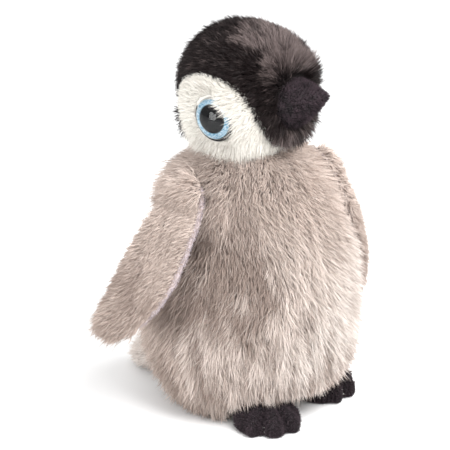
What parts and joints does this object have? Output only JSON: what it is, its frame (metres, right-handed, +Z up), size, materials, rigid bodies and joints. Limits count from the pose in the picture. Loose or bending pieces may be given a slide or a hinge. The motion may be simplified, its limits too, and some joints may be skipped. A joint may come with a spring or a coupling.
{
  "type": "plush penguin",
  "caption": "Standing plush penguin chick with a round pile-fabric body, dark hooded head, white cheeks, large dome eyes, soft beak, hanging wings, toed feet and a small tail.",
  "frame": {"origin": "on the torso's axis at the flat base it stands on", "axes": "+Z up through the head, -Y the way it faces, -X its right side"},
  "size_m": [0.1857, 0.1531, 0.245],
  "materials": {
    "body_pile": "long soft pile fabric, warm grey with darker roots",
    "belly_pile": "long soft pile fabric, pale warm grey with streaks",
    "hood_pile": "short dense pile fabric, near black brown",
    "cheek_pile": "short dense pile fabric, off white",
    "short_pile": "ribbed short pile fabric, dark grey",
    "lining": "brushed short pile fabric, lilac grey",
    "base_cloth": "brushed cloth",
    "wadding": "loose polyester fibre",
    "bag_cloth": "thin woven cloth",
    "pellet_fill": "small plastic beads",
    "thread": "twisted polyester thread",
    "clear_dome": "clear polished plastic",
    "iris_foil": "glittering blue foil round a black pupil",
    "black_plastic": "moulded black plastic",
    "white_plastic": "moulded white plastic"
  },
  "bodies": {
    "torso": {"torso_front_panel": "belly_pile", "torso_back_right_panel": "body_pile", "torso_back_left_panel": "body_pile", "base_panel": "base_cloth", "torso_stuffing": "wadding", "pellet_bag": "bag_cloth", "pellets": "pellet_fill", "closing_stitches": "thread"},
    "neck": {"neck_stuffing": "wadding"},
    "head": {"hood_cover": "hood_pile", "right_cheek_panel": "cheek_pile", "left_cheek_panel": "cheek_pile", "head_stuffing": "wadding", "beak_upper_cover": "short_pile", "beak_lower_cover": "short_pile", "beak_stuffing": "wadding", "right_eye_dome": "clear_dome", "right_iris_disc": "iris_foil", "right_eye_casing": "black_plastic", "right_lock_washer": "white_plastic", "left_eye_dome": "clear_dome", "left_iris_disc": "iris_foil", "left_eye_casing": "black_plastic", "left_lock_washer": "white_plastic"},
    "right_wing": {"right_wing_outer": "body_pile", "right_wing_lining": "lining", "right_wing_wadding": "wadding"},
    "left_wing": {"left_wing_outer": "body_pile", "left_wing_lining": "lining", "left_wing_wadding": "wadding"},
    "right_foot": {"right_foot_upper": "short_pile", "right_foot_sole": "short_pile", "right_foot_stuffing": "wadding"},
    "left_foot": {"left_foot_upper": "short_pile", "left_foot_sole": "short_pile", "left_foot_stuffing": "wadding"},
    "tail": {"tail_upper_cover": "body_pile", "tail_lower_cover": "body_pile", "tail_stuffing": "wadding"}
  },
  "joints": [
    {"name": "neck_turn", "type": "hinge", "parent": "torso", "child": "neck", "pos_m": [0, 0.002, 0.203], "axis": [0, 0, 1], "range_deg": [-25, 25], "stiffness_Nm_per_rad": 0.25},
    {"name": "head_nod", "type": "hinge", "parent": "neck", "child": "head", "pos_m": [0, 0.002, 0.203], "axis": [1, 0, 0], "range_deg": [-9, 9], "stiffness_Nm_per_rad": 0.3},
    {"name": "right_wing_raise", "type": "hinge", "parent": "torso", "child": "right_wing", "pos_m": [-0.048, 0.002, 0.153], "axis": [0, 0.9945, 0.1045], "range_deg": [-8, 60], "stiffness_Nm_per_rad": 0.1},
    {"name": "left_wing_raise", "type": "hinge", "parent": "torso", "child": "left_wing", "pos_m": [0.04525, -0.01613, 0.153], "axis": [-0.3746, -0.9272, 0], "range_deg": [0, 60], "stiffness_Nm_per_rad": 0.1},
    {"name": "right_foot_lift", "type": "hinge", "parent": "torso", "child": "right_foot", "pos_m": [-0.0206, -0.0238, 0.002], "axis": [-0.8191, 0.5736, 0], "range_deg": [0, 12], "stiffness_Nm_per_rad": 0.04},
    {"name": "left_foot_lift", "type": "hinge", "parent": "torso", "child": "left_foot", "pos_m": [0.0219, -0.0139, 0.002], "axis": [-0.9135, -0.4067, 0], "range_deg": [0, 12], "stiffness_Nm_per_rad": 0.04},
    {"name": "tail_lift", "type": "hinge", "parent": "torso", "child": "tail", "pos_m": [0, 0.0565, 0.019], "axis": [1, 0, 0], "range_deg": [0, 22], "stiffness_Nm_per_rad": 0.03}
  ]
}
